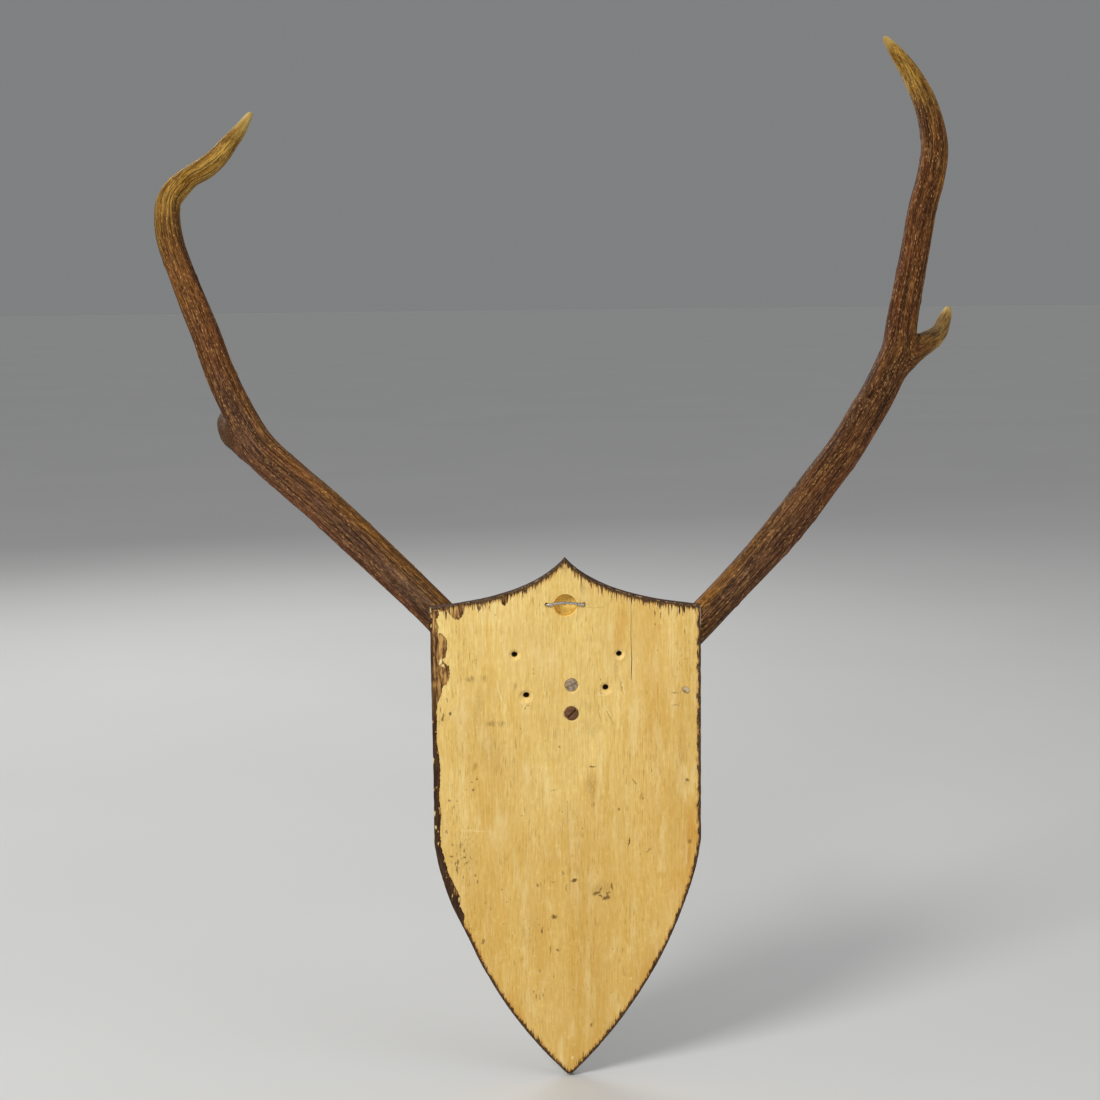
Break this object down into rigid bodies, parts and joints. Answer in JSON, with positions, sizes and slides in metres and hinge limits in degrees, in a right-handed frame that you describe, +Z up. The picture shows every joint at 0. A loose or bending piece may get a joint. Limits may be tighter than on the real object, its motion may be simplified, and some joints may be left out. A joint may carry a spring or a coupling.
{
  "type": "red deer antler trophy",
  "caption": "Pair of branched deer antlers on a piece of skull, screwed to a shield-shaped wooden wall board that hangs on a wire across a round recess.",
  "frame": {"origin": "on the board's flat back, on its centre line, 242 mm above its bottom tip", "axes": "+Z up as it hangs on a wall; +Y out of the board's back, into the wall; +X towards the animal's left antler, which is on the left when the board is seen from behind"},
  "size_m": [0.7475, 0.2996, 0.9063],
  "materials": {
    "pale_wood": "matte",
    "old_bone": "matte",
    "dark_antler": "satin",
    "gold_antler": "satin",
    "bright_screw": "satin",
    "rusty_screw": "matte",
    "wire": "satin"
  },
  "bodies": {
    "root": {"shield": "pale_wood", "skull_cap": "old_bone", "left_antler_beam": "dark_antler", "left_brow_tine": "gold_antler", "left_trez_tine": "gold_antler", "right_antler_beam": "dark_antler", "right_brow_tine": "gold_antler", "right_trez_tine": "gold_antler", "upper_screw": "bright_screw", "lower_screw": "rusty_screw", "hanging_wire": "wire"}
  },
  "joints": []
}
